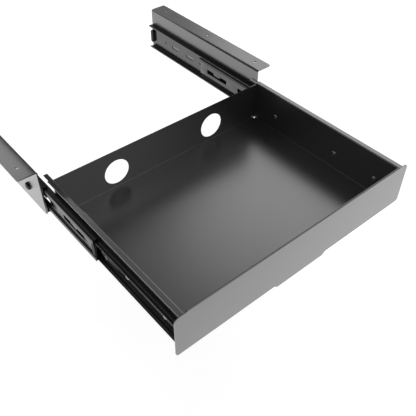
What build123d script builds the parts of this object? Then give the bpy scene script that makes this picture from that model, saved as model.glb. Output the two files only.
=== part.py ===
"""Under desk drawer: a folded steel tray on two full-extension slides, hung from two screw-on brackets.

Millimetres. +Z is up, the drawer opens towards -Y, and the user's left is -X. The origin is the centre of the
brackets' screw holes, on the plane where the brackets meet the underside of the desk. The drawer stands fully open.
"""

from build123d import *
import math
import os

# Brackets
bracket_sheet = 2.0
bracket_below_slide = 3.45
bracket_flange = 30.0
bracket_bend = 1.5
bracket_corner = 3.0
desk_hole_r = 2.5
desk_hole_inset = 25.0
desk_hole_from_plate = 15.0

# Tray
tray_inner_width = 380.0
tray_depth = 288.8
tray_height = 67.4
tray_sheet = 1.0
tray_bend = 0.6
tray_flange = 7.0
desk_gap = 12.0
rear_wall_step = 1.7
front_wall_step = 22.0
corner_relief = 3.0
rear_tab_length = 15.0
rear_tab_width = 6.0
cable_hole_r = 21.0
cable_hole_x = 91.2
cable_hole_rise = 26.8

# Front panel
panel_sheet = 1.2
panel_cover = 0.3
panel_rise = 2.6
panel_foot_step = 0.4
hem_rise = 1.0
hem_gap = 0.3
hem_depth = 11.0
hem_side_gap = 2.5
ear_radius = 7.5
foot_radius = 5.0
pull_width = 84.5
pull_drop = 4.6
pull_slant = 5.5
stud_r = 2.0
stud_length = 7.0
stud_x = (60.0, 150.0)
stud_drop = 45.0
stud_play = 0.2
nut_across = 7.0
nut_height = 3.2
nut_flange_r = 4.8
nut_flange_height = 0.9
nut_play = 0.05

# Slides: u runs from the bracket towards the tray, w up and down from the slide's axis
slide_length = 300.0
slide_thickness = 12.7
slide_half_height = 22.85
slide_rise = 26.2
closed_gap = 1.0
rail_front_gap = 0.8
rail_sheet = 1.0
rail_bend = 0.5
outer_lip = 8.5
outer_lip_return = 1.2
middle_front_step = 24.0
middle_offset = 2.3
middle_lip_gap = 1.3
middle_recess = 3.0
window_length = 53.0
window_pitch = 83.0
window_inset = 30.0
window_end_length = 18.0
window_top = 3.0
window_neck_top = -1.0
window_bottom = -5.0
window_round = 1.5
inner_tip_gap = 0.35
ball_r = 1.19
ball_play = 0.05
balls_per_row = 7
cage_sheet = 0.5
cage_ball_play = 0.12
cage_edge = 1.7
cage_end_gap = 13.0
inner_cage_rear_gap = 1.0
outer_cage_gap = 0.35
inner_cage_gap = 0.4
inner_cage_floor_gap = 0.7
inner_cage_wall_gap = 0.45
inner_cage_lip_gap = 0.94
slot_width = 6.0
slot_length = 22.0
slot_pitch = 44.0
rail_end_inset = 14.0

# Screws and rivets
bracket_screw_r = 2.4
bracket_screw_head_r = 6.0
bracket_screw_head = 3.8
bracket_screw_inset = 44.0
bracket_screw_play = 0.1
socket_across = 4.0
socket_depth = 2.2
rivet_r = 2.4
rivet_play = 0.05
rivet_head_r = 4.2
rivet_head = 1.6
rivet_front_inset = 35.4
rivet_lever_gap = 17.8
rivet_rear_inset = 49.0

# Stops and bumpers
stop_length = 7.0
stop_gap = 1.0
stop_height = 24.0
stop_thickness = 4.4
bumper_length = 7.0
bumper_side_gap = 2.0
bumper_thickness = 2.2

# Release lever
lever_thickness = 2.2
lever_web_gap = 0.3
lever_handle = 26.0
lever_hook = 13.0
lever_from_middle = 6.0
lever_half_height = 4.2
lever_tip_half_height = 2.6
lever_nose = 3.0
lever_pin_r = 2.0
lever_pin_play = 0.12
lever_pin_head_r = 3.4
lever_pin_head = 0.7

# Rounding, as shares of the size they round, and how far cutting tools pass beyond a face
head_round_share = 0.6
end_round_share = 0.3
lever_tip_round_share = 0.8
lever_nose_round_share = 0.4
hem_bend_share = 0.45
cut_over = 1.0

# Places that follow from the sizes
travel = slide_length
bracket_front = -slide_length / 2
wall_outer = tray_inner_width / 2 + tray_sheet
plate_inner = wall_outer + slide_thickness
plate_outer = plate_inner + bracket_sheet
panel_half = plate_outer + panel_cover
flange_top = -desk_gap
tray_bottom = flange_top - tray_height
floor_top = tray_bottom + tray_sheet
panel_back = bracket_front - closed_gap - travel
panel_front = panel_back - panel_sheet
tray_rear = panel_back + tray_depth
rear_wall_front = tray_rear - tray_sheet
panel_top = flange_top + panel_rise
panel_bottom = tray_bottom + panel_foot_step
stud_z = flange_top - stud_drop
cable_hole_z = floor_top + cable_hole_rise
axis_z = tray_bottom + slide_rise
bracket_bottom = axis_z - slide_half_height - bracket_below_slide

# Slide sections
ball_gap = 2 * (ball_r + ball_play)
outer_half = slide_half_height
middle_half = outer_half - rail_sheet - ball_gap
inner_half = middle_half - rail_sheet - ball_gap
inner_web = slide_thickness - rail_sheet
middle_tip = slide_thickness - middle_lip_gap
outer_cage_web = rail_sheet + outer_cage_gap
inner_cage_web = middle_offset + rail_sheet + inner_cage_gap
inner_tip = inner_cage_web + cage_sheet + inner_tip_gap
recess_floor = middle_offset + middle_recess
inner_cage_floor = recess_floor + rail_sheet + inner_cage_floor_gap
inner_cage_recess_half = inner_half - rail_sheet - inner_cage_lip_gap - cage_sheet
recess_half = inner_cage_recess_half - inner_cage_wall_gap - rail_sheet
outer_ball_u = (middle_offset + outer_lip - rail_sheet) / 2
inner_ball_u = (inner_tip + middle_tip) / 2
outer_ball_w = middle_half + ball_gap / 2
inner_ball_w = inner_half + ball_gap / 2

# Places along the slides
outer_front = bracket_front
outer_rear = outer_front + slide_length
inner_front = panel_back + rail_front_gap
inner_rear = inner_front + slide_length
middle_front = outer_front + middle_front_step - travel / 2
middle_rear = outer_rear - stop_length - stop_gap - travel / 2
lever_pivot_y = middle_front - lever_from_middle - lever_hook
desk_hole_x = plate_outer + desk_hole_from_plate
desk_hole_y = (bracket_front + desk_hole_inset, 0.0, -bracket_front - desk_hole_inset)
bracket_screw_y = (bracket_front + bracket_screw_inset, 0.0, -bracket_front - bracket_screw_inset)
rivet_y = (
    panel_back + rivet_front_inset,
    lever_pivot_y - lever_handle - rivet_lever_gap,
    min(tray_rear, inner_rear) - rivet_rear_inset,
)


def block(x0, x1, y0, y1, z0, z1):
    """A box between two corners."""
    return Pos((x0 + x1) / 2, (y0 + y1) / 2, (z0 + z1) / 2) * Box(x1 - x0, y1 - y0, z1 - z0)


def rod_x(x0, x1, y, z, radius):
    """A round rod along X."""
    return Pos((x0 + x1) / 2, y, z) * Rot(0, 90, 0) * Cylinder(radius, x1 - x0)


def rod_y(x, y0, y1, z, radius):
    """A round rod along Y."""
    return Pos(x, (y0 + y1) / 2, z) * Rot(90, 0, 0) * Cylinder(radius, y1 - y0)


def rod_z(x, y, z0, z1, radius):
    """A round rod along Z."""
    return Pos(x, y, (z0 + z1) / 2) * Cylinder(radius, z1 - z0)


def along_y(section, y0, y1):
    """A section drawn in X and Z, drawn out from y0 to y1."""
    return extrude(Plane.XZ.offset(-y1) * section, y1 - y0)


def along_x(section, x0, x1):
    """A section drawn in Y and Z, drawn out from x0 to x1."""
    return extrude(Plane.YZ.offset(x0) * section, x1 - x0)


def outline(points):
    """A closed polygon."""
    return make_face(Polyline(*points, close=True))


def round_corners(face, points, radius):
    """Rounds the corners of a flat face that lie at the given points."""
    corners = [face.vertices().sort_by_distance(Vector(*point, 0))[0] for point in points]
    return fillet(corners, radius)


def folded_sheet(points, thickness, bend):
    """The section of a sheet with square bends: points run along one face, the sheet lies to their right."""
    steps = []
    for (x0, z0), (x1, z1) in zip(points, points[1:]):
        length = math.hypot(x1 - x0, z1 - z0)
        steps.append(((x1 - x0) / length, (z1 - z0) / length))
    rights = [(dz, -dx) for dx, dz in steps]
    joined = [rights[0]]
    joined += [(a[0] + b[0], a[1] + b[1]) for a, b in zip(rights, rights[1:])]
    joined.append(rights[-1])
    other = [(x + thickness * nx, z + thickness * nz) for (x, z), (nx, nz) in zip(points, joined)]
    tight, wide = [], []
    for index in range(1, len(points) - 1):
        before, after = steps[index - 1], steps[index]
        turns_left = before[0] * after[1] - before[1] * after[0] > 0
        tight.append(points[index] if turns_left else other[index])
        wide.append(other[index] if turns_left else points[index])
    face = outline(points + other[::-1])
    face = round_corners(face, tight, bend)
    return round_corners(face, wide, bend + thickness)


def slide_x(u):
    """X of a place in the left slide, u from the bracket plate towards the tray."""
    return -plate_inner + u


def slide_channel(u_web, u_tip, half, thickness, recess=()):
    """A C section in the left slide: web at u_web, two lips to u_tip, and the web's recess as (u, half height)."""
    side = 1 if u_tip > u_web else -1
    places = [(u_tip, half), (u_web, half)]
    if recess:
        u_floor, floor_half = recess
        places += [(u_web, floor_half), (u_floor, floor_half)]
    places += [(u, -w) for u, w in places[::-1]]
    points = [(slide_x(u), axis_z + side * w) for u, w in places]
    return folded_sheet(points[::-1], thickness, rail_bend)


def web_slots(front, rear, u_web):
    """The cutting shapes for rounded slots along a rail's web, evenly spaced about the middle of a stretch."""
    count = int((rear - front - 2 * rail_end_inset - slot_length) // slot_pitch) + 1
    middle = (front + rear) / 2
    x0, x1 = slide_x(u_web - cut_over), slide_x(u_web + rail_sheet + cut_over)
    holes = []
    for index in range(count):
        y = middle + (index - (count - 1) / 2) * slot_pitch
        holes.append(along_x(Pos(y, axis_z) * SlotOverall(slot_length, slot_width), x0, x1))
    return holes


def recess_windows():
    """The cutting shapes for the narrow-waisted windows along the floor of the middle rail's recess."""
    count = int((middle_rear - middle_front - window_inset - window_length - rail_end_inset) // window_pitch) + 1
    x0, x1 = slide_x(recess_floor - cut_over), slide_x(recess_floor + rail_sheet + cut_over)
    z0 = axis_z + window_bottom
    windows = []
    for index in range(count):
        y0 = middle_front + window_inset + index * window_pitch
        y1 = y0 + window_length
        window = block(x0, x1, y0, y1, z0, axis_z + window_neck_top)
        for y in (y0, y1 - window_end_length):
            window += block(x0, x1, y, y + window_end_length, z0, axis_z + window_top)
        windows.append(fillet(window.edges().filter_by(Axis.X), window_round))
    return windows


def screw_hole(y):
    """The cutting rod for a screw through the bracket plate and the outer rail's web."""
    x0, x1 = -plate_outer - cut_over, slide_x(rail_sheet + cut_over)
    return rod_x(x0, x1, y, axis_z, bracket_screw_r + bracket_screw_play)


def bracket():
    """The left bracket: a top flange that screws to the desk and a plate that carries the slide."""
    points = [(-plate_inner - bracket_flange, 0), (-plate_inner, 0), (-plate_inner, bracket_bottom)]
    body = along_y(folded_sheet(points, bracket_sheet, bracket_bend), bracket_front, -bracket_front)
    low_corners = body.edges().filter_by(Axis.X).group_by(Axis.Z)[0]
    body = fillet(low_corners, bracket_corner)
    tip_corners = body.edges().filter_by(Axis.Z).group_by(Axis.X)[0]
    body = fillet(tip_corners, bracket_corner)
    for y in desk_hole_y:
        body -= rod_z(-desk_hole_x, y, -bracket_sheet - cut_over, cut_over, desk_hole_r)
    for y in bracket_screw_y:
        body -= screw_hole(y)
    return body


def outer_rail():
    """The left slide's cabinet member: a channel with lips turned in over the balls."""
    section = slide_channel(0, outer_lip, outer_half, rail_sheet)
    inside = outer_half - rail_sheet
    for side in (-1, 1):
        u0, u1 = outer_lip - rail_sheet, outer_lip
        w0, w1 = sorted((side * (inside - outer_lip_return), side * (inside + rail_sheet / 2)))
        points = [(u0, w0), (u1, w0), (u1, w1), (u0, w1)]
        section += outline([(slide_x(u), axis_z + w) for u, w in points])
    body = along_y(section, outer_front, outer_rear)
    for y in bracket_screw_y:
        body -= screw_hole(y)
    for y0, y1 in zip(bracket_screw_y, bracket_screw_y[1:]):
        for hole in web_slots(y0, y1, 0):
            body -= hole
    return body


def middle_rail():
    """The left slide's intermediate member: a recessed web, and lips that run between both rows of balls."""
    section = slide_channel(middle_offset, middle_tip, middle_half, rail_sheet, (recess_floor, recess_half))
    body = along_y(section, middle_front, middle_rear)
    for window in recess_windows():
        body -= window
    return body


def inner_rail():
    """The left slide's drawer member, riveted to the tray wall."""
    section = slide_channel(slide_thickness, inner_tip, inner_half, rail_sheet)
    body = along_y(section, inner_front, inner_rear)
    x0, x1 = slide_x(inner_web - cut_over), slide_x(slide_thickness + cut_over)
    for y in rivet_y:
        body -= rod_x(x0, x1, y, axis_z, rivet_r + rivet_play)
    body -= rod_x(x0, x1, lever_pivot_y, axis_z, lever_pin_r + rivet_play)
    return body


def ball_cage(u_web, ball_u, ball_w, front, rear, recess=()):
    """A folded strip that keeps the balls of one pair of tracks apart, and its balls."""
    section = slide_channel(u_web, ball_u + cage_edge, ball_w + cage_sheet / 2, cage_sheet, recess)
    cage = along_y(section, front, rear)
    pitch = (rear - front) / balls_per_row
    balls = []
    for index in range(balls_per_row):
        y = front + (index + 0.5) * pitch
        for side in (-1, 1):
            z = axis_z + side * ball_w
            cage -= rod_z(slide_x(ball_u), y, z - cut_over, z + cut_over, ball_r + cage_ball_play)
            balls.append(Pos(slide_x(ball_u), y, z) * Sphere(ball_r))
    return cage, balls


def outer_cage():
    """Cage and balls between the outer and the middle rail, inside the length they still share when open."""
    front, rear = outer_front + cage_end_gap, middle_rear - cage_end_gap
    return ball_cage(outer_cage_web, outer_ball_u, outer_ball_w, front, rear)


def inner_cage():
    """Cage and balls between the middle and the inner rail, behind the middle rail's bumper."""
    front, rear = middle_front + bumper_length + cage_end_gap, inner_rear - inner_cage_rear_gap
    recess = (inner_cage_floor, inner_cage_recess_half)
    return ball_cage(inner_cage_web, inner_ball_u, inner_ball_w, front, rear, recess)


def bracket_screws():
    """Button-head screws through the bracket plate into the outer rail."""
    screws = []
    x_open = -plate_outer - bracket_screw_head
    socket = RegularPolygon(socket_across / 2, 6, major_radius=False)
    for y in bracket_screw_y:
        head = rod_x(x_open, -plate_outer, y, axis_z, bracket_screw_head_r)
        rim = head.faces().sort_by(Axis.X)[0].edges()
        head = fillet(rim, bracket_screw_head * head_round_share)
        shank = rod_x(-plate_outer, slide_x(rail_sheet), y, axis_z, bracket_screw_r)
        recess = along_x(Pos(y, axis_z) * socket, x_open - cut_over, x_open + socket_depth)
        screws.append(head + shank - recess)
    return screws


def rail_rivets():
    """Rivets through the tray wall and the inner rail's web."""
    rivets = []
    x_in = -tray_inner_width / 2
    x_out = slide_x(inner_web)
    for y in rivet_y:
        inside = rod_x(x_in, x_in + rivet_head, y, axis_z, rivet_head_r)
        inside = fillet(inside.faces().sort_by(Axis.X)[-1].edges(), rivet_head * head_round_share)
        outside = rod_x(x_out - rivet_head, x_out, y, axis_z, rivet_head_r)
        outside = fillet(outside.faces().sort_by(Axis.X)[0].edges(), rivet_head * head_round_share)
        rivets.append(inside + outside + rod_x(x_out, x_in, y, axis_z, rivet_r))
    return rivets


def rail_stop():
    """The plastic stop on the outer rail's web, behind the middle rail when the drawer is shut."""
    half = stop_height / 2
    x0, x1 = slide_x(rail_sheet), slide_x(rail_sheet + stop_thickness)
    body = block(x0, x1, outer_rear - stop_length, outer_rear, axis_z - half, axis_z + half)
    return fillet(body.edges().filter_by(Axis.X), stop_length * end_round_share)


def middle_bumper():
    """The plastic bumper in the recess at the middle rail's front end."""
    half = recess_half - bumper_side_gap
    x1 = slide_x(recess_floor)
    rear = middle_front + bumper_length
    body = block(x1 - bumper_thickness, x1, middle_front, rear, axis_z - half, axis_z + half)
    return fillet(body.edges().filter_by(Axis.X), bumper_length * end_round_share)


def release_lever():
    """The lever in the inner rail that frees the drawer from the middle rail, and the pin it turns on."""
    u1 = inner_web - lever_web_gap
    u0 = u1 - lever_thickness
    y, z = lever_pivot_y, axis_z
    points = [
        (y - lever_handle, z - lever_tip_half_height),
        (y, z - lever_half_height),
        (y + lever_hook, z - lever_tip_half_height),
        (y + lever_hook, z + lever_tip_half_height + lever_nose),
        (y + lever_hook - lever_nose, z + lever_tip_half_height + lever_nose),
        (y, z + lever_half_height),
        (y - lever_handle, z + lever_tip_half_height),
    ]
    face = outline(points)
    face = round_corners(face, [points[0], points[-1]], lever_tip_half_height * lever_tip_round_share)
    face = round_corners(face, [points[3]], lever_nose * lever_nose_round_share)
    lever = along_x(face, slide_x(u0), slide_x(u1))
    lever -= rod_x(slide_x(u0 - cut_over), slide_x(u1 + cut_over), y, z, lever_pin_r + lever_pin_play)
    neck = u0 - lever_pin_play
    pin = rod_x(slide_x(neck), slide_x(slide_thickness), y, z, lever_pin_r)
    pin += rod_x(slide_x(neck - lever_pin_head), slide_x(neck), y, z, lever_pin_head_r)
    return lever, pin


def fold_rear_wall(body):
    """Rounds the sheet, inside and out, where the floor folds up into the rear wall."""
    half = tray_inner_width / 2 - corner_relief
    outer = tray_bend + tray_sheet
    inside = body.edges().filter_by(Axis.X).sort_by_distance(Vector(0, rear_wall_front, floor_top))[0]
    body = fillet(inside, tray_bend)
    y, z = rear_wall_front - tray_bend, floor_top + tray_bend
    corner = block(-half, half, y, y + outer + cut_over, tray_bottom - cut_over, z)
    return body - (corner - rod_x(-half, half, y, z, outer))


def tray_pan():
    """The folded tray: floor, side walls with outward flanges, rear wall with cable holes, low front wall."""
    half = tray_inner_width / 2
    lip = half + tray_sheet + tray_flange
    points = [(-lip, flange_top), (-half, flange_top), (-half, floor_top)]
    points += [(-x, z) for x, z in points[::-1]]
    body = along_y(folded_sheet(points, tray_sheet, tray_bend), panel_back, tray_rear)
    foot = floor_top - tray_sheet / 2
    body += block(-half, half, rear_wall_front, tray_rear, foot, flange_top - rear_wall_step)
    body += block(-half, half, panel_back, panel_back + tray_sheet, foot, flange_top - front_wall_step)
    for side in (-1, 1):
        x0, x1 = sorted((side * half, side * (half - corner_relief)))
        for y in (panel_back + tray_sheet, rear_wall_front - corner_relief):
            body -= block(x0, x1, y, y + corner_relief, tray_bottom - cut_over, floor_top + tray_bend)
    body = fold_rear_wall(body)
    for side in (-1, 1):
        x0, x1 = sorted((side * half, side * (half + rear_tab_width)))
        y0, y1 = rear_wall_front, tray_rear + rear_tab_length
        body += block(x0, x1, y0, y1, flange_top - tray_sheet, flange_top)
    for x in (-cable_hole_x, cable_hole_x):
        body -= rod_y(x, rear_wall_front - cut_over, tray_rear + cut_over, cable_hole_z, cable_hole_r)
    y0, y1 = panel_back - cut_over, panel_back + tray_sheet + cut_over
    for x in stud_places():
        body -= rod_y(x, y0, y1, stud_z, stud_r + stud_play)
    for side in (-1, 1):
        x0, x1 = sorted((side * (half - cut_over), side * (wall_outer + cut_over)))
        for y in rivet_y:
            body -= rod_x(x0, x1, y, axis_z, rivet_r + rivet_play)
    return body


def stud_places():
    """X places of the studs, the same on both sides of the middle."""
    return [side * x for x in stud_x for side in (-1, 1)]


def front_panel():
    """The flat front with ears in front of the slides, a hemmed top edge, a finger pull and weld studs."""
    half = panel_half
    hem_half = tray_inner_width / 2 - hem_side_gap
    pull_half = pull_width / 2
    low = panel_bottom - pull_drop
    right = [
        (pull_half, low),
        (pull_half + pull_slant, panel_bottom),
        (half, panel_bottom),
        (half, panel_top),
        (hem_half, panel_top),
        (hem_half, panel_top + hem_rise),
    ]
    points = right + [(-x, z) for x, z in right[::-1]]
    face = outline(points)
    face = round_corners(face, [(half, panel_top), (-half, panel_top)], ear_radius)
    face = round_corners(face, [(half, panel_bottom), (-half, panel_bottom)], foot_radius)
    body = along_y(face, panel_front, panel_back)
    top = panel_top + hem_rise
    hem_points = [
        (panel_front, top - hem_depth),
        (panel_front, top),
        (panel_back + hem_gap + panel_sheet, top),
        (panel_back + hem_gap + panel_sheet, top - hem_depth),
    ]
    hem = along_x(folded_sheet(hem_points, panel_sheet, hem_gap * hem_bend_share), -hem_half, hem_half)
    y0, z0 = panel_front - cut_over, top - panel_sheet - hem_gap
    top_edge = block(-hem_half, hem_half, y0, panel_back, z0, top + cut_over)
    body = body - top_edge + hem
    for x in stud_places():
        body += rod_y(x, panel_back - panel_sheet / 2, panel_back + stud_length, stud_z, stud_r)
    return body


def front_panel_nuts():
    """Flange nuts that clamp the tray's front wall onto the panel's studs."""
    nuts = []
    y0 = panel_back + tray_sheet
    y1 = y0 + nut_height
    hexagon = RegularPolygon(nut_across / 2, 6, major_radius=False)
    for x in stud_places():
        nut = along_y(Pos(x, stud_z) * hexagon, y0, y1)
        nut += rod_y(x, y0, y0 + nut_flange_height, stud_z, nut_flange_r)
        nuts.append(nut - rod_y(x, y0 - cut_over, y1 + cut_over, stud_z, stud_r + nut_play))
    return nuts


def write(name, shapes):
    """Writes one piece, or a group of like pieces, to parts/."""
    group = shapes if isinstance(shapes, list) else [shapes]
    solids = [solid for shape in group for solid in shape.solids()]
    target = solids[0] if len(solids) == 1 else Compound(children=solids)
    export_step(target, os.path.join("parts", name + ".step"))
    print(name, len(solids))


def write_pair(name, shapes):
    """Writes the left piece and its mirror image on the right."""
    group = shapes if isinstance(shapes, list) else [shapes]
    write("left_" + name, group)
    write("right_" + name, [mirror(shape, about=Plane.YZ) for shape in group])


def main():
    """Builds and writes every piece."""
    os.makedirs("parts", exist_ok=True)
    write_pair("bracket", bracket())
    write_pair("bracket_screws", bracket_screws())
    write_pair("outer_rail", outer_rail())
    write_pair("rail_stop", rail_stop())
    write_pair("middle_rail", middle_rail())
    write_pair("middle_bumper", middle_bumper())
    write_pair("inner_rail", inner_rail())
    write_pair("rail_rivets", rail_rivets())
    for name, (cage, balls) in (("outer", outer_cage()), ("inner", inner_cage())):
        write_pair(name + "_cage", cage)
        write_pair(name + "_balls", balls)
    lever, pin = release_lever()
    write_pair("release_lever", lever)
    write_pair("lever_pin", pin)
    write("tray_pan", tray_pan())
    write("front_panel", front_panel())
    write("front_panel_nuts", front_panel_nuts())


main()
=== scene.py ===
"""Looks for the under desk drawer: finishes for every steel and plastic piece, and a plain studio."""

import logging
import math
from dataclasses import dataclass, field
from enum import Enum
from typing import Any

import bmesh
import bpy
from mathutils import Matrix, Vector


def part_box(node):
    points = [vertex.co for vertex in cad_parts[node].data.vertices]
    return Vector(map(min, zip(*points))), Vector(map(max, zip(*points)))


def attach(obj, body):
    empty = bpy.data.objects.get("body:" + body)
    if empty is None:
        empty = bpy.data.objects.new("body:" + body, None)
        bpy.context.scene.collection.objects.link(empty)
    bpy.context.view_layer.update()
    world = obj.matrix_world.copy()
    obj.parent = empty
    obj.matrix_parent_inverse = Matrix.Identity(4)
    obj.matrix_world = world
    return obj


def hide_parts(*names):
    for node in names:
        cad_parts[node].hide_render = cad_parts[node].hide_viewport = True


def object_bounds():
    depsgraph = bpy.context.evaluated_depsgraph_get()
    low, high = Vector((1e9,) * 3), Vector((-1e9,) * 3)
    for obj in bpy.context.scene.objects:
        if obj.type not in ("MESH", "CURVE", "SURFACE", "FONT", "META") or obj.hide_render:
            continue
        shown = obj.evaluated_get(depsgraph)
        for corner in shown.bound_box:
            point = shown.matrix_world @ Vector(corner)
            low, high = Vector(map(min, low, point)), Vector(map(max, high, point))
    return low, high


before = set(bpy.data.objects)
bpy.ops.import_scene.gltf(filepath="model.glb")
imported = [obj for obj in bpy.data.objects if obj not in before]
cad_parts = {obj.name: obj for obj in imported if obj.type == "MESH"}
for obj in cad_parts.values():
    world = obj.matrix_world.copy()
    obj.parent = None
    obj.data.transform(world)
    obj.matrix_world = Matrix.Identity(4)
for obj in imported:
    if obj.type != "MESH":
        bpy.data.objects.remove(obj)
CAD_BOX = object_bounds()

log = logging.getLogger("under_desk_drawer")

MM = 0.001
SHARP_ANGLE = math.radians(40)
BEVEL_ANGLE = math.radians(50)

Colour = tuple[float, float, float]
Corner = tuple[float, float, float]


class Side(Enum):
    """The drawer's two sides, with the sign of X on each."""

    LEFT = -1
    RIGHT = 1

    def name_of(self, kind: str) -> str:
        """Gives the name of a piece on this side."""
        return f"{self.name.lower()}_{kind}"


class Graph:
    """A short way to place nodes in a tree and join their sockets."""

    def __init__(self, tree: bpy.types.NodeTree) -> None:
        """Keeps the tree.

        Args:
            tree: The node tree that new nodes go into.
        """
        self.tree = tree

    def add(self, kind: str, settings: dict[str, Any] | None = None, **inputs: Any) -> bpy.types.Node:
        """Adds a node, sets its properties, and sets or links its inputs.

        Args:
            kind: The node's type, such as ShaderNodeMath.
            settings: Properties of the node itself.
            inputs: Values or output sockets by input name, with spaces as underscores.

        Returns:
            The new node.
        """
        node = self.tree.nodes.new(kind)
        for name, value in (settings or {}).items():
            setattr(node, name, value)
        for name, value in inputs.items():
            self.put(node.inputs[name.replace("_", " ")], value)
        return node

    def put(self, socket: bpy.types.NodeSocket, value: Any) -> None:
        """Sets a socket's value, or links an output to it.

        Args:
            socket: The input socket.
            value: A number, a tuple or an output socket.
        """
        if isinstance(value, bpy.types.NodeSocket):
            self.tree.links.new(value, socket)
        else:
            socket.default_value = value

    def math(self, operation: str, *values: Any, clamp: bool = False) -> bpy.types.NodeSocket:
        """Adds a math node.

        Args:
            operation: Blender's name of the operation.
            values: Its inputs in order, as numbers or sockets.
            clamp: Whether the result is held between 0 and 1.

        Returns:
            The result socket.
        """
        node = self.add("ShaderNodeMath", {"operation": operation, "use_clamp": clamp})
        for socket, value in zip(node.inputs, values):
            self.put(socket, value)
        return node.outputs[0]

    def mix(self, factor: Any, low: Any, high: Any) -> bpy.types.NodeSocket:
        """Adds a mix between two colours.

        Args:
            factor: The share of the second colour.
            low: The colour at factor 0.
            high: The colour at factor 1.

        Returns:
            The result socket.
        """
        node = self.add("ShaderNodeMix", {"data_type": "RGBA"})
        for socket, value in zip((node.inputs[0], node.inputs[6], node.inputs[7]), (factor, low, high)):
            self.put(socket, value)
        return node.outputs[2]


def new_group(
    name: str, inputs: dict[str, float], outputs: dict[str, str],
) -> tuple[bpy.types.NodeTree, Graph]:
    """Starts a shader node group with number inputs and typed outputs.

    Args:
        name: The group's name.
        inputs: Default value of each number input.
        outputs: Socket type of each output, such as NodeSocketFloat.

    Returns:
        The group and a graph that writes into it.
    """
    group = bpy.data.node_groups.new(name, "ShaderNodeTree")
    for label, value in inputs.items():
        socket = group.interface.new_socket(name=label, in_out="INPUT", socket_type="NodeSocketFloat")
        socket.default_value = value
    for label, kind in outputs.items():
        group.interface.new_socket(name=label, in_out="OUTPUT", socket_type=kind)
    return group, Graph(group)


def noise(
    graph: Graph, place: Any, scale: Any, detail: float, roughness: float = 0.5,
) -> bpy.types.NodeSocket:
    """Adds fractal noise read at a place.

    Args:
        graph: The graph that gets the node.
        place: The coordinate socket.
        scale: Cells per metre.
        detail: How many octaves are added.
        roughness: How strong the finer octaves are.

    Returns:
        The noise as a number from 0 to 1.
    """
    node = graph.add("ShaderNodeTexNoise", Vector=place, Scale=scale, Detail=detail, Roughness=roughness)
    return node.outputs["Fac"]


def ramp(
    graph: Graph, value: Any, low: float, high: float, to_low: float = 0.0, to_high: float = 1.0,
) -> bpy.types.NodeSocket:
    """Maps a range of numbers smoothly onto another and holds it there.

    Args:
        graph: The graph that gets the node.
        value: The number to map.
        low: Value that gives to_low.
        high: Value that gives to_high.
        to_low: Result at and below low.
        to_high: Result at and above high.

    Returns:
        The mapped number's socket.
    """
    node = graph.add("ShaderNodeMapRange", {"interpolation_type": "SMOOTHSTEP"}, Value=value)
    for label, number in (("From Min", low), ("From Max", high), ("To Min", to_low), ("To Max", to_high)):
        node.inputs[label].default_value = number
    return node.outputs[0]


def edge_wear_group() -> bpy.types.NodeTree:
    """Builds the mask of thin worn edges, broken up by noise.

    Returns:
        A group with inputs Width and Scale and output Mask.
    """
    group, graph = new_group("edge_wear", {"Width": 0.0006, "Scale": 400.0}, {"Mask": "NodeSocketFloat"})
    source = graph.add("NodeGroupInput")
    bevel = graph.add("ShaderNodeBevel", {"samples": 4}, Radius=source.outputs["Width"])
    normal = graph.add("ShaderNodeNewGeometry").outputs["Normal"]
    turned = graph.add("ShaderNodeVectorMath", {"operation": "DOT_PRODUCT"})
    graph.put(turned.inputs[0], bevel.outputs[0])
    graph.put(turned.inputs[1], normal)
    bend = ramp(graph, turned.outputs["Value"], 0.995, 0.85)
    place = graph.add("ShaderNodeTexCoord").outputs["Object"]
    broken = ramp(graph, noise(graph, place, source.outputs["Scale"], 3.0), 0.42, 0.6)
    mask = graph.math("MULTIPLY", bend, broken)
    graph.put(graph.add("NodeGroupOutput").inputs["Mask"], mask)
    return group


def coat_texture_group() -> bpy.types.NodeTree:
    """Builds the fine pebble of a baked coat, with a slow change in gloss over it.

    Returns:
        A group with inputs Scale and Gloss Change and outputs Height and Gloss.
    """
    group, graph = new_group(
        "coat_texture",
        {"Scale": 900.0, "Gloss Change": 0.05},
        {"Height": "NodeSocketFloat", "Gloss": "NodeSocketFloat"},
    )
    source = graph.add("NodeGroupInput")
    place = graph.add("ShaderNodeTexCoord").outputs["Object"]
    pebble = noise(graph, place, source.outputs["Scale"], 2.0, 0.6)
    slow = noise(graph, place, 14.0, 3.0, 0.55)
    fine = noise(graph, place, 5200.0, 1.0)
    both = graph.math("MULTIPLY_ADD", slow, 1.4, graph.math("MULTIPLY", fine, 0.6))
    even = graph.math("SUBTRACT", both, 1.0)
    out = graph.add("NodeGroupOutput")
    graph.put(out.inputs["Height"], pebble)
    graph.put(out.inputs["Gloss"], graph.math("MULTIPLY", even, source.outputs["Gloss Change"]))
    return group


def rolled_lines_group() -> bpy.types.NodeTree:
    """Builds the fine lines that a rolling mill leaves along Y.

    Returns:
        A group with inputs Scale and Stretch and output Lines.
    """
    group, graph = new_group(
        "rolled_lines", {"Scale": 2600.0, "Stretch": 0.012}, {"Lines": "NodeSocketFloat"},
    )
    source = graph.add("NodeGroupInput")
    place = graph.add("ShaderNodeTexCoord").outputs["Object"]
    factor = graph.add("ShaderNodeCombineXYZ", X=1.0, Y=source.outputs["Stretch"], Z=1.0)
    drawn = graph.add("ShaderNodeVectorMath", {"operation": "MULTIPLY"})
    graph.put(drawn.inputs[0], place)
    graph.put(drawn.inputs[1], factor.outputs[0])
    lines = noise(graph, drawn.outputs[0], source.outputs["Scale"], 3.0, 0.6)
    graph.put(graph.add("NodeGroupOutput").inputs["Lines"], lines)
    return group


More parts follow.
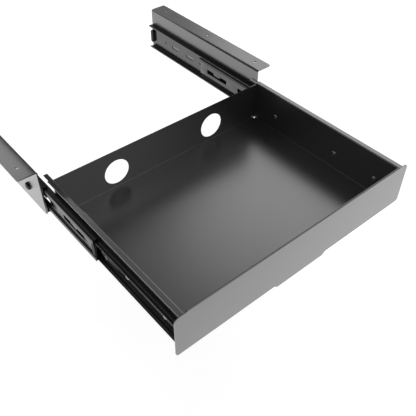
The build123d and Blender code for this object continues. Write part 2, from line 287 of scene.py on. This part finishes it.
class Effects:
    """The shared node groups, each built once when first asked for."""

    makers = {
        "edge_wear": edge_wear_group,
        "coat_texture": coat_texture_group,
        "rolled_lines": rolled_lines_group,
    }

    @classmethod
    def place(cls, graph: Graph, name: str, **values: float) -> bpy.types.Node:
        """Adds a group node and sets its inputs.

        Args:
            graph: The material's graph.
            name: Which effect.
            values: Input values, with spaces as underscores.

        Returns:
            The group node.
        """
        group = bpy.data.node_groups.get(name) or cls.makers[name]()
        node = graph.add("ShaderNodeGroup", {"node_tree": group})
        for label, value in values.items():
            graph.put(node.inputs[label.replace("_", " ")], value)
        return node


def start_material(name: str) -> tuple[bpy.types.Material, Graph, bpy.types.Node]:
    """Starts a material with one Principled shader.

    Args:
        name: The material's name.

    Returns:
        The material, a graph that writes into it, and the shader.
    """
    material = bpy.data.materials.new(name)
    material.use_nodes = True
    material.node_tree.nodes.clear()
    graph = Graph(material.node_tree)
    shader = graph.add("ShaderNodeBsdfPrincipled")
    out = graph.add("ShaderNodeOutputMaterial")
    graph.put(out.inputs["Surface"], shader.outputs[0])
    return material, graph, shader


@dataclass(frozen=True)
class SatinCoat:
    """A baked black coat on sheet steel: glossy, finely pebbled, a little thinner over the edges."""

    name: str
    colour: Colour
    edge_colour: Colour
    roughness: float
    ior: float
    coat: float
    pebble_scale: float = 900.0
    pebble_depth: float = 0.00001
    gloss_change: float = 0.04
    edge_width: float = 0.0007

    def material(self) -> bpy.types.Material:
        """Builds the material."""
        material, graph, shader = start_material(self.name)
        texture = Effects.place(
            graph, "coat_texture", Scale=self.pebble_scale, Gloss_Change=self.gloss_change,
        )
        wear = Effects.place(graph, "edge_wear", Width=self.edge_width)
        worn = graph.math("MULTIPLY", wear.outputs["Mask"], 0.6)
        colour = graph.mix(worn, (*self.colour, 1.0), (*self.edge_colour, 1.0))
        rough = graph.math("ADD", texture.outputs["Gloss"], self.roughness, clamp=True)
        pebble = texture.outputs["Height"]
        bump = graph.add("ShaderNodeBump", Strength=0.35, Distance=self.pebble_depth, Height=pebble)
        graph.put(shader.inputs["Base Color"], colour)
        graph.put(shader.inputs["Roughness"], rough)
        graph.put(shader.inputs["Normal"], bump.outputs[0])
        shader.inputs["IOR"].default_value = self.ior
        shader.inputs["Coat Weight"].default_value = self.coat
        shader.inputs["Coat Roughness"].default_value = self.roughness * 0.8
        return material


@dataclass(frozen=True)
class RolledSteel:
    """Roll-formed steel with a thin black plating: lines along its length and rubbed edges."""

    name: str
    colour: Colour
    edge_colour: Colour
    roughness: float
    ior: float
    metallic: float = 0.0
    line_depth: float = 0.000012
    edge_width: float = 0.0005

    def material(self) -> bpy.types.Material:
        """Builds the material."""
        material, graph, shader = start_material(self.name)
        lines = Effects.place(graph, "rolled_lines").outputs["Lines"]
        wear = Effects.place(graph, "edge_wear", Width=self.edge_width).outputs["Mask"]
        streak = ramp(graph, lines, 0.3, 0.75)
        plated = graph.mix(streak, (*self.colour, 1.0), tuple(1.5 * c for c in self.colour) + (1.0,))
        colour = graph.mix(graph.math("MULTIPLY", wear, 0.8), plated, (*self.edge_colour, 1.0))
        rough = graph.math("MULTIPLY_ADD", lines, 0.14, self.roughness - 0.07, clamp=True)
        bump = graph.add("ShaderNodeBump", Strength=0.3, Distance=self.line_depth, Height=lines)
        graph.put(shader.inputs["Base Color"], colour)
        graph.put(shader.inputs["Roughness"], rough)
        graph.put(shader.inputs["Normal"], bump.outputs[0])
        shader.inputs["IOR"].default_value = self.ior
        shader.inputs["Metallic"].default_value = self.metallic
        return material


@dataclass(frozen=True)
class PlainMetal:
    """A small turned, drawn or ground metal piece with tumbling marks."""

    name: str
    colour: Colour
    roughness: float
    mark_scale: float = 1800.0
    mark_depth: float = 0.000008

    def material(self) -> bpy.types.Material:
        """Builds the material."""
        material, graph, shader = start_material(self.name)
        place = graph.add("ShaderNodeTexCoord").outputs["Object"]
        marks = noise(graph, place, self.mark_scale, 3.0, 0.6)
        shade = ramp(graph, marks, 0.3, 0.7, 0.82, 1.0)
        colour = graph.mix(shade, (0.0, 0.0, 0.0, 1.0), (*self.colour, 1.0))
        rough = graph.math("MULTIPLY_ADD", marks, 0.2, self.roughness - 0.1, clamp=True)
        bump = graph.add("ShaderNodeBump", Strength=0.25, Distance=self.mark_depth, Height=marks)
        graph.put(shader.inputs["Base Color"], colour)
        graph.put(shader.inputs["Roughness"], rough)
        graph.put(shader.inputs["Normal"], bump.outputs[0])
        shader.inputs["Metallic"].default_value = 1.0
        return material


@dataclass(frozen=True)
class MouldedPlastic:
    """Moulded black plastic with a spark-eroded grain."""

    name: str
    colour: Colour
    roughness: float
    ior: float = 1.4
    grain_scale: float = 2400.0
    grain_depth: float = 0.00003

    def material(self) -> bpy.types.Material:
        """Builds the material."""
        material, graph, shader = start_material(self.name)
        place = graph.add("ShaderNodeTexCoord").outputs["Object"]
        grain = noise(graph, place, self.grain_scale, 2.0, 0.7)
        wear = Effects.place(graph, "edge_wear", Width=0.0004).outputs["Mask"]
        rubbed = tuple(2.2 * c for c in self.colour)
        colour = graph.mix(graph.math("MULTIPLY", wear, 0.5), (*self.colour, 1.0), (*rubbed, 1.0))
        rough = graph.math("MULTIPLY_ADD", grain, 0.16, self.roughness - 0.08, clamp=True)
        bump = graph.add("ShaderNodeBump", Strength=0.4, Distance=self.grain_depth, Height=grain)
        graph.put(shader.inputs["Base Color"], colour)
        graph.put(shader.inputs["Roughness"], rough)
        graph.put(shader.inputs["Normal"], bump.outputs[0])
        shader.inputs["IOR"].default_value = self.ior
        return material


BLACK_COAT = SatinCoat("satin_black_coat", (0.006, 0.006, 0.0065), (0.018, 0.018, 0.019), 0.3, 2.1, 1.0)
BLACK_PLATING = RolledSteel("black_plated_steel", (0.006, 0.006, 0.0065), (0.04, 0.04, 0.042), 0.22, 1.9)
RIVET_STEEL = PlainMetal("rivet_steel", (0.42, 0.42, 0.43), 0.24, mark_depth=0.000004)
PIN_STEEL = PlainMetal("black_oxide_pin", (0.05, 0.05, 0.052), 0.26, mark_depth=0.000004)
BLACK_SCREW = PlainMetal("black_screw_steel", (0.045, 0.045, 0.048), 0.34)
ZINC = PlainMetal("zinc_plated_steel", (0.62, 0.63, 0.65), 0.28)
# The cage colour is kept this dark partly for the cage's own dark finish and partly as painted shade, so
# the insides of the middle rail's windows look shaded.
CAGE_STEEL_AND_PAINTED_SHADE = PlainMetal("cage_steel", (0.04, 0.04, 0.042), 0.34)
BALL_STEEL = PlainMetal("ball_steel", (0.78, 0.78, 0.8), 0.08, mark_depth=0.000001)
BLACK_PLASTIC = MouldedPlastic("moulded_black_plastic", (0.010, 0.010, 0.0105), 0.55)


@dataclass
class Wardrobe:
    """Dresses CAD nodes, building each finish once."""

    made: dict[str, bpy.types.Material] = field(default_factory=dict)

    def get(self, finish: Any) -> bpy.types.Material:
        """Gives a finish's material, built on first use."""
        if finish.name not in self.made:
            self.made[finish.name] = finish.material()
        return self.made[finish.name]

    def dress(self, piece: bpy.types.Object, finish: Any) -> None:
        """Puts a finish on every face of a piece.

        Args:
            piece: The mesh object.
            finish: A finish that builds a material.
        """
        piece.data.materials.clear()
        piece.data.materials.append(self.get(finish))
        log.info("dressed %s in %s", piece.name, finish.name)


def place_mesh(name: str, bm: bmesh.types.BMesh) -> bpy.types.Object:
    """Puts a bmesh into the scene as an object at the origin.

    Args:
        name: The object's name.
        bm: The mesh under construction, which is freed.

    Returns:
        The object.
    """
    mesh = bpy.data.meshes.new(name)
    bm.to_mesh(mesh)
    bm.free()
    placed = bpy.data.objects.new(name, mesh)
    bpy.context.scene.collection.objects.link(placed)
    return placed


def finish_mesh(
    name: str, bm: bmesh.types.BMesh, thickness: float = 0.0, edge: float = 0.0,
) -> bpy.types.Object:
    """Turns a bmesh into a piece, with an optional wall thickness and softened edges, both applied.

    Args:
        name: The piece's name.
        bm: The mesh under construction, which is freed.
        thickness: Wall given to an open sheet, on the side away from its normals.
        edge: Width of the bevel along sharp edges.

    Returns:
        The piece, at the origin.
    """
    piece = place_mesh(name, bm)
    sheet = piece.data
    if thickness:
        wall = piece.modifiers.new("wall", "SOLIDIFY")
        wall.thickness, wall.offset, wall.use_even_offset = thickness, -1.0, True
    if edge:
        soft = piece.modifiers.new("soft", "BEVEL")
        soft.width, soft.segments = edge, 2
        soft.limit_method, soft.angle_limit = "ANGLE", BEVEL_ANGLE
    finished = piece.evaluated_get(bpy.context.evaluated_depsgraph_get())
    solid = bpy.data.meshes.new_from_object(finished)
    piece.modifiers.clear()
    piece.data = solid
    bpy.data.meshes.remove(sheet)
    solid.name = name
    solid.shade_smooth()
    solid.set_sharp_from_angle(angle=SHARP_ANGLE)
    return piece


@dataclass
class SubAssembly:
    """What every sub-assembly shares: the wardrobe, and dressing its CAD nodes and new pieces."""

    wardrobe: Wardrobe

    def dress_node(self, name: str, finish: Any) -> None:
        """Puts a finish on a CAD node."""
        self.wardrobe.dress(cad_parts[name], finish)

    def add_piece(
        self, piece: bpy.types.Object, body: str, slot: str, finish: Any, *stands_for: str,
    ) -> None:
        """Dresses a new piece, lets it ride on its body and hides the CAD nodes that it replaces.

        Args:
            piece: The new piece.
            body: The CAD body it moves with.
            slot: Not used.
            finish: Its finish.
            stands_for: CAD nodes that it replaces.
        """
        self.wardrobe.dress(piece, finish)
        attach(piece, body)
        if stands_for:
            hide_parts(*stands_for)
        log.info("built %s: %d faces", piece.name, len(piece.data.polygons))


@dataclass
class Tray(SubAssembly):
    """The folded steel tray."""

    def build(self) -> None:
        """Dresses the tray."""
        self.dress_node("tray_pan", BLACK_COAT)


@dataclass
class Front(SubAssembly):
    """The flat front, its hemmed top edge and the nuts that hold it on."""

    def build(self) -> None:
        """Dresses the front and its nuts."""
        self.dress_node("front_panel", BLACK_COAT)
        self.dress_node("front_panel_nuts", ZINC)


@dataclass
class DeskBracket(SubAssembly):
    """One bracket with the screws that hold its slide."""

    side: Side

    def build(self) -> None:
        """Dresses the bracket and its screws."""
        self.dress_node(self.side.name_of("bracket"), BLACK_COAT)
        self.dress_node(self.side.name_of("bracket_screws"), BLACK_SCREW)


@dataclass
class Slide(SubAssembly):
    """One three-part ball slide.

    A depth is how far towards the tray a place lies, as minus its distance from the middle plane. A
    height is read from the slide's axis. Both are in metres.
    """

    side: Side
    sheet: float = 1.0 * MM
    bend: float = 1.5 * MM
    soft_edge: float = 0.3 * MM
    groove: float = 0.45 * MM
    groove_half: float = 1.5 * MM
    groove_shape: tuple[tuple[float, float], ...] = (
        (-1.0, 0.0), (-0.75, 0.3), (-0.4, 0.82), (0.0, 1.0), (0.4, 0.82), (0.75, 0.3), (1.0, 0.0),
    )
    bend_segments: int = 5
    merge: float = 0.001 * MM
    recess_side_gap: float = 2.0 * MM
    window_inset: float = 30.0 * MM
    window_length: float = 53.0 * MM
    window_pitch: float = 83.0 * MM
    window_end: float = 18.0 * MM
    window_heights: tuple[float, float, float] = (-5.0 * MM, -1.0 * MM, 3.0 * MM)
    window_count: int = 3
    rivet_steps: int = 40
    rivet_head: float = 1.6 * MM
    rivet_neck: float = 0.55
    flared_end: tuple[tuple[float, float], ...] = (
        (0.15, 0.0), (0.15, 0.30), (0.85, 0.50), (1.0, 0.62),
        (1.0, 0.76), (0.75, 0.93), (0.35, 1.0), (0.0, 0.96),
    )
    domed_end: tuple[tuple[float, float], ...] = (
        (0.0, 1.0), (0.32, 0.96), (0.62, 0.80), (0.85, 0.58), (0.97, 0.30), (1.0, 0.0),
    )
    lever_ribs: int = 6
    rib_size: tuple[float, float, float] = (0.5 * MM, 0.8 * MM, 4.4 * MM)
    rib_inset: float = 3.0 * MM
    rib_pitch: float = 1.8 * MM
    rib_edge: float = 0.15 * MM

    def reach(self, node: str) -> tuple[float, float, float, float, float]:
        """Reads a node's extent in the slide's terms.

        Args:
            node: The node's kind, without its side.

        Returns:
            Outer depth, inner depth, front, rear and half height.
        """
        low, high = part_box(self.side.name_of(node))
        outer, inner = sorted((-abs(low.x), -abs(high.x)))
        return outer, inner, low.y, high.y, (high.z - low.z) / 2

    @property
    def axis(self) -> float:
        """The height of the slide's axis."""
        low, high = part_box(self.side.name_of("inner_rail"))
        return (low.z + high.z) / 2

    def ball_depth(self, balls: str) -> float:
        """Gives the depth of a row of balls."""
        outer, inner, *_ = self.reach(balls)
        return (outer + inner) / 2

    def grooved_lip(
        self, tip: float, web: float, half: float, grooves: list[tuple[float, float]],
    ) -> list[Corner]:
        """Lists the corners of a lip that carries ball grooves, from its tip to the web.

        Args:
            tip: Depth of the lip's tip.
            web: Depth of the web.
            half: Height of the lip.
            grooves: Depth of each groove, nearest the tip first, and how far it dips.

        Returns:
            Corners as depth, height and rounding.
        """
        towards = math.copysign(1.0, web - tip)
        corners = [(tip, half, 0.0)]
        for at, dip in grooves:
            for along, share in self.groove_shape:
                corners.append((at + towards * along * self.groove_half, half + share * dip, 0.0))
        return corners + [(web, half, self.bend)]

    def rolled(self, corners: list[Corner], front: float, rear: float) -> bmesh.types.BMesh:
        """Rolls a strip with rounded bends from one edge of its section, mirrored about the slide's axis.

        Args:
            corners: Corners of the upper half as depth, height and rounding.
            front: Where the strip starts along Y.
            rear: Where it ends.

        Returns:
            An open sheet whose normals point away from the metal.
        """
        bm = bmesh.new()
        chain = corners + [(depth, -height, bend) for depth, height, bend in reversed(corners)]
        places = [
            bm.verts.new((-self.side.value * depth, front, self.axis + height))
            for depth, height, _ in chain
        ]
        for one, other in zip(places, places[1:]):
            bm.edges.new((one, other))
        for radius in sorted({bend for *_, bend in chain if bend}, reverse=True):
            bends = [place for place, corner in zip(places, chain) if corner[2] == radius]
            bmesh.ops.bevel(
                bm, geom=bends, offset=radius, offset_type="OFFSET", affect="VERTICES",
                segments=self.bend_segments, profile=0.5, material=-1,
            )
        drawn = bmesh.ops.extrude_edge_only(bm, edges=bm.edges[:])["geom"]
        ends = [item for item in drawn if isinstance(item, bmesh.types.BMVert)]
        bmesh.ops.translate(bm, verts=ends, vec=(0.0, rear - front, 0.0))
        bmesh.ops.recalc_face_normals(bm, faces=bm.faces[:])
        top = max(bm.faces, key=lambda face: face.calc_center_median().z)
        if top.normal.z < 0:
            bmesh.ops.reverse_faces(bm, faces=bm.faces[:])
        return bm

    def drawer_rail(self) -> None:
        """Builds the rail on the tray, with a ball groove rolled into each lip."""
        outer, inner, front, rear, half = self.reach("inner_rail")
        corners = self.grooved_lip(outer, inner, half, [(self.ball_depth("inner_balls"), -self.groove)])
        bm = self.rolled(corners, front, rear)
        piece = finish_mesh(self.side.name_of("drawer_rail"), bm, self.sheet, self.soft_edge)
        node = self.side.name_of("inner_rail")
        self.add_piece(piece, "drawer", "black_zinc_steel", BLACK_PLATING, node)

    def floor_faces(self, bm: bmesh.types.BMesh, floor: float) -> list[bmesh.types.BMFace]:
        """Finds the faces of the recess's floor.

        Args:
            bm: The middle rail's sheet.
            floor: X of the recess's floor.

        Returns:
            The faces that lie on it.
        """
        near = 10 * self.merge
        return [face for face in bm.faces if all(abs(point.co.x - floor) < near for point in face.verts)]

    def is_window(self, along: float, height: float) -> bool:
        """Tells whether a place on the recess's floor is inside a window.

        Args:
            along: Its distance from the window's front end.
            height: Its height from the slide's axis.

        Returns:
            True inside the window, whose middle is cut less high than its ends.
        """
        low, neck, top = self.window_heights
        if not 0.0 < along < self.window_length or not low < height < top:
            return False
        return height < neck or not self.window_end < along < self.window_length - self.window_end

    def cut_windows(self, bm: bmesh.types.BMesh, floor: float, front: float) -> None:
        """Cuts the narrow-waisted windows through the floor of the recess.

        Args:
            bm: The middle rail's sheet.
            floor: X of the recess's floor.
            front: The rail's front end.
        """
        first = front + self.window_inset
        starts = [first + index * self.window_pitch for index in range(self.window_count)]
        steps = (0.0, self.window_end, self.window_length - self.window_end, self.window_length)
        planes = [((0.0, start + step, 0.0), (0.0, 1.0, 0.0)) for start in starts for step in steps]
        planes += [((0.0, 0.0, self.axis + height), (0.0, 0.0, 1.0)) for height in self.window_heights]
        for place, normal in planes:
            faces = self.floor_faces(bm, floor)
            edges = {edge for face in faces for edge in face.edges}
            points = {point for face in faces for point in face.verts}
            bmesh.ops.bisect_plane(
                bm, geom=[*faces, *edges, *points], dist=self.merge, plane_co=place, plane_no=normal,
            )
        opened = []
        for face in self.floor_faces(bm, floor):
            centre = face.calc_center_median()
            if any(self.is_window(centre.y - start, centre.z - self.axis) for start in starts):
                opened.append(face)
        bmesh.ops.delete(bm, geom=opened, context="FACES")

    def middle_member(self) -> None:
        """Builds the middle rail: grooved lips, a recessed web and its windows."""
        outer, inner, front, rear, half = self.reach("middle_rail")
        _, floor, _, _, bumper_half = self.reach("middle_bumper")
        recess_half = bumper_half + self.recess_side_gap
        grooves = [
            (self.ball_depth("inner_balls"), self.groove),
            (self.ball_depth("outer_balls"), -self.groove),
        ]
        corners = self.grooved_lip(inner, outer, half, grooves)
        corners += [(outer, recess_half, self.sheet), (floor, recess_half, self.sheet / 2)]
        bm = self.rolled(corners, front, rear)
        self.cut_windows(bm, -self.side.value * floor, front)
        piece = finish_mesh(self.side.name_of("middle_member"), bm, self.sheet, self.soft_edge)
        body, node = self.side.name_of("middle"), self.side.name_of("middle_rail")
        self.add_piece(piece, body, "black_zinc_steel", BLACK_PLATING, node)

    def rivet(
        self, bm: bmesh.types.BMesh, y: float, outer: float, inner: float, radius: float,
    ) -> None:
        """Spins one rivet: a shank with a flared hollow end outside and a low dome inside.

        Args:
            bm: The mesh that gets the rivet.
            y: Its place along the slide.
            outer: Depth of its outer head's top.
            inner: Depth of its inner head's top.
            radius: Radius of its heads.
        """
        base, foot = outer + self.rivet_head, inner - self.rivet_head
        neck = self.rivet_neck * radius
        section = [(base - self.rivet_head * rise, radius * out) for rise, out in self.flared_end]
        section += [(base, neck), (foot, neck)]
        section += [(foot + self.rivet_head * rise, radius * out) for rise, out in self.domed_end]
        points = [bm.verts.new((-self.side.value * depth, y, self.axis + out)) for depth, out in section]
        edges = [bm.edges.new(pair) for pair in zip(points, points[1:])]
        bmesh.ops.spin(
            bm, geom=[*points, *edges], cent=(0.0, y, self.axis), axis=(1.0, 0.0, 0.0),
            dvec=(0.0, 0.0, 0.0), angle=2 * math.pi, steps=self.rivet_steps,
            use_merge=True, use_duplicate=False,
        )

    def rivet_places(self, spread: float) -> list[float]:
        """Finds where the CAD's rivets stand along the slide.

        Args:
            spread: Least gap between two rivets.

        Returns:
            The middle of each rivet along Y.
        """
        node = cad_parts[self.side.name_of("rail_rivets")]
        places = sorted(point.co.y for point in node.data.vertices)
        centres, start = [], places[0]
        for before, after in zip(places, places[1:] + [math.inf]):
            if after - before > spread:
                centres.append((start + before) / 2)
                start = after
        return centres

    def rivets(self) -> None:
        """Builds the rivets that hold the drawer rail on the tray."""
        outer, inner, _, _, radius = self.reach("rail_rivets")
        bm = bmesh.new()
        for y in self.rivet_places(4 * radius):
            self.rivet(bm, y, outer, inner, radius)
        bmesh.ops.remove_doubles(bm, verts=bm.verts[:], dist=self.merge)
        bmesh.ops.recalc_face_normals(bm, faces=bm.faces[:])
        piece = finish_mesh(self.side.name_of("domed_rivets"), bm)
        node = self.side.name_of("rail_rivets")
        self.add_piece(piece, "drawer", "rivet_steel", RIVET_STEEL, node)

    def lever_pad(self) -> None:
        """Builds the thumb ribs on the release lever's front end."""
        outer, _, front, _, _ = self.reach("release_lever")
        bm = bmesh.new()
        for index in range(self.lever_ribs):
            y = front + self.rib_inset + self.rib_pitch * index
            made = bmesh.ops.create_cube(bm, size=1.0)["verts"]
            bmesh.ops.scale(bm, verts=made, vec=self.rib_size)
            bmesh.ops.translate(bm, verts=made, vec=(-self.side.value * outer, y, self.axis))
        bmesh.ops.bevel(
            bm, geom=bm.edges[:], offset=self.rib_edge, offset_type="OFFSET", affect="EDGES",
            segments=2, profile=0.5, material=-1,
        )
        piece = finish_mesh(self.side.name_of("lever_ribs"), bm)
        self.add_piece(piece, self.side.name_of("lever"), "black_plastic", BLACK_PLASTIC)

    def build(self) -> None:
        """Dresses the slide's nodes and builds its rolled rails, rivets and lever ribs."""
        finishes = {
            "outer_rail": BLACK_PLATING,
            "middle_rail": BLACK_PLATING,
            "inner_rail": BLACK_PLATING,
            "rail_stop": BLACK_PLASTIC,
            "middle_bumper": BLACK_PLASTIC,
            "rail_rivets": RIVET_STEEL,
            "outer_cage": CAGE_STEEL_AND_PAINTED_SHADE,
            "inner_cage": CAGE_STEEL_AND_PAINTED_SHADE,
            "outer_balls": BALL_STEEL,
            "inner_balls": BALL_STEEL,
            "release_lever": BLACK_PLASTIC,
            "lever_pin": PIN_STEEL,
        }
        for kind, finish in finishes.items():
            self.dress_node(self.side.name_of(kind), finish)
        self.drawer_rail()
        self.middle_member()
        self.rivets()
        self.lever_pad()


@dataclass(frozen=True)
class Lamp:
    """One square soft lamp."""

    name: str
    place: tuple[float, float, float]
    size: float
    watts: float
    aim: tuple[float, float, float] = (0.0, -0.2, 0.0)

    def hang(self) -> None:
        """Hangs the lamp, facing its aim."""
        data = bpy.data.lights.new(self.name, "AREA")
        data.shape, data.size, data.energy = "SQUARE", self.size, self.watts
        lamp = bpy.data.objects.new(self.name, data)
        lamp.location = self.place
        lamp.rotation_mode = "QUATERNION"
        lamp.rotation_quaternion = (Vector(self.aim) - Vector(self.place)).to_track_quat("-Z", "Y")
        bpy.context.scene.collection.objects.link(lamp)


@dataclass
class Studio:
    """A pale floor under the drawer, a white surround, soft lamps, a dark card and the camera."""

    floor_drop: float = 0.30
    floor_size: float = 12.0
    floor_colour: float = 0.8
    floor_glow: float = 0.45
    floor_roughness: float = 0.8
    camera_place: tuple[float, float, float] = (-0.4130, -0.7506, 0.5031)
    camera_yaw: float = 40.33
    camera_pitch: float = 43.75
    camera_roll: float = 0.35
    lens: float = 50.15
    sensor: float = 36.0
    clip: tuple[float, float] = (0.01, 50.0)
    world_strength: float = 0.7
    ceiling: float = 0.22
    horizon_height: float = 0.05
    ceiling_height: float = 0.45
    card_half_width: float = 0.195
    card_front: float = -0.152
    card_rear: float = 0.05
    card_lift: float = 0.001
    card_height: float = 0.035
    card_colour: Colour = (0.030, 0.022, 0.018)
    lamps: tuple[Lamp, ...] = (
        Lamp("back_lamp", (2.7, 1.5, 2.5), 2.2, 19.0),
        Lamp("rear_lamp", (0.7, 2.6, 1.9), 1.0, 4.3),
        Lamp("front_lamp", (0.7, -2.5, 2.0), 1.6, 12.0),
    )

    def camera(self) -> None:
        """Places the camera above the drawer's front left corner, looking down at it."""
        data = bpy.data.cameras.new("camera")
        data.lens, data.sensor_width = self.lens, self.sensor
        data.clip_start, data.clip_end = self.clip
        camera = bpy.data.objects.new("camera", data)
        bpy.context.scene.collection.objects.link(camera)
        yaw = Matrix.Rotation(-math.radians(self.camera_yaw), 4, "Z")
        pitch = Matrix.Rotation(math.radians(90 - self.camera_pitch), 4, "X")
        roll = Matrix.Rotation(math.radians(self.camera_roll), 4, "Z")
        camera.matrix_world = Matrix.Translation(self.camera_place) @ yaw @ pitch @ roll
        bpy.context.scene.camera = camera

    def shows_white(self, graph: Graph) -> bpy.types.NodeSocket:
        """Gives 1 where a camera, mirror or clear-glass ray meets the surround."""
        path = graph.add("ShaderNodeLightPath")
        seen = graph.math("MAXIMUM", path.outputs["Is Camera Ray"], path.outputs["Is Glossy Ray"])
        return graph.math("MAXIMUM", seen, path.outputs["Is Transmission Ray"])

    def world(self) -> None:
        """Makes the surround: white to look at, a dim ceiling in reflections, and softer as a light."""
        world = bpy.data.worlds.new("studio")
        world.use_nodes = True
        world.node_tree.nodes.clear()
        graph = Graph(world.node_tree)
        around = graph.add("ShaderNodeTexCoord").outputs["Generated"]
        height = graph.add("ShaderNodeSeparateXYZ", Vector=around).outputs["Z"]
        mirrored = ramp(graph, height, self.horizon_height, self.ceiling_height, 1.0, self.ceiling)
        path = graph.add("ShaderNodeLightPath")
        glossy = graph.add("ShaderNodeMapRange", Value=path.outputs["Is Glossy Ray"])
        graph.put(glossy.inputs["To Min"], self.world_strength)
        graph.put(glossy.inputs["To Max"], mirrored)
        clear = graph.math("MAXIMUM", path.outputs["Is Camera Ray"], path.outputs["Is Transmission Ray"])
        strength = graph.math("MAXIMUM", clear, glossy.outputs[0])
        background = graph.add("ShaderNodeBackground", Color=(1.0, 1.0, 1.0, 1.0), Strength=strength)
        out = graph.add("ShaderNodeOutputWorld")
        graph.put(out.inputs["Surface"], background.outputs[0])
        bpy.context.scene.world = world

    def floor(self) -> None:
        """Lays the floor below the object's lowest point."""
        bm = bmesh.new()
        bmesh.ops.create_grid(bm, x_segments=1, y_segments=1, size=self.floor_size / 2)
        bmesh.ops.translate(bm, verts=bm.verts, vec=(0.0, 0.0, CAD_BOX[0].z - self.floor_drop))
        floor = place_mesh("floor", bm)
        material, graph, shader = start_material("pale_floor")
        shader.inputs["Base Color"].default_value = (self.floor_colour,) * 3 + (1.0,)
        shader.inputs["Roughness"].default_value = self.floor_roughness
        shader.inputs["Emission Color"].default_value = (1.0, 1.0, 1.0, 1.0)
        glow = graph.math("MULTIPLY", self.shows_white(graph), self.floor_glow)
        graph.put(shader.inputs["Emission Strength"], glow)
        floor.data.materials.append(material)

    def card(self) -> None:
        """Hangs a dark card over the tray's rear end, seen only in reflections, to keep glare off it."""
        bm = bmesh.new()
        made = bmesh.ops.create_cube(bm, size=1.0)["verts"]
        length = self.card_rear - self.card_front
        middle = (0.0, (self.card_front + self.card_rear) / 2, self.card_lift + self.card_height / 2)
        bmesh.ops.scale(bm, verts=made, vec=(2 * self.card_half_width, length, self.card_height))
        bmesh.ops.translate(bm, verts=made, vec=middle)
        card = place_mesh("card", bm)
        for kind in ("camera", "diffuse", "transmission", "volume_scatter", "shadow"):
            setattr(card, f"visible_{kind}", False)
        material, _, shader = start_material("dark_card")
        shader.inputs["Base Color"].default_value = (0.0, 0.0, 0.0, 1.0)
        shader.inputs["Emission Color"].default_value = (*self.card_colour, 1.0)
        shader.inputs["Emission Strength"].default_value = 1.0
        card.data.materials.append(material)

    def build(self) -> None:
        """Sets up the whole studio."""
        self.camera()
        self.world()
        self.floor()
        self.card()
        for lamp in self.lamps:
            lamp.hang()
        bpy.context.scene.view_settings.view_transform = "Standard"


def main() -> None:
    """Builds the studio and every sub-assembly in order."""
    logging.basicConfig(level=logging.INFO, format="%(name)s: %(message)s")
    Studio().build()
    wardrobe = Wardrobe()
    Tray(wardrobe).build()
    Front(wardrobe).build()
    for side in Side:
        DeskBracket(wardrobe, side).build()
        Slide(wardrobe, side).build()


if __name__ == "__main__":
    main()
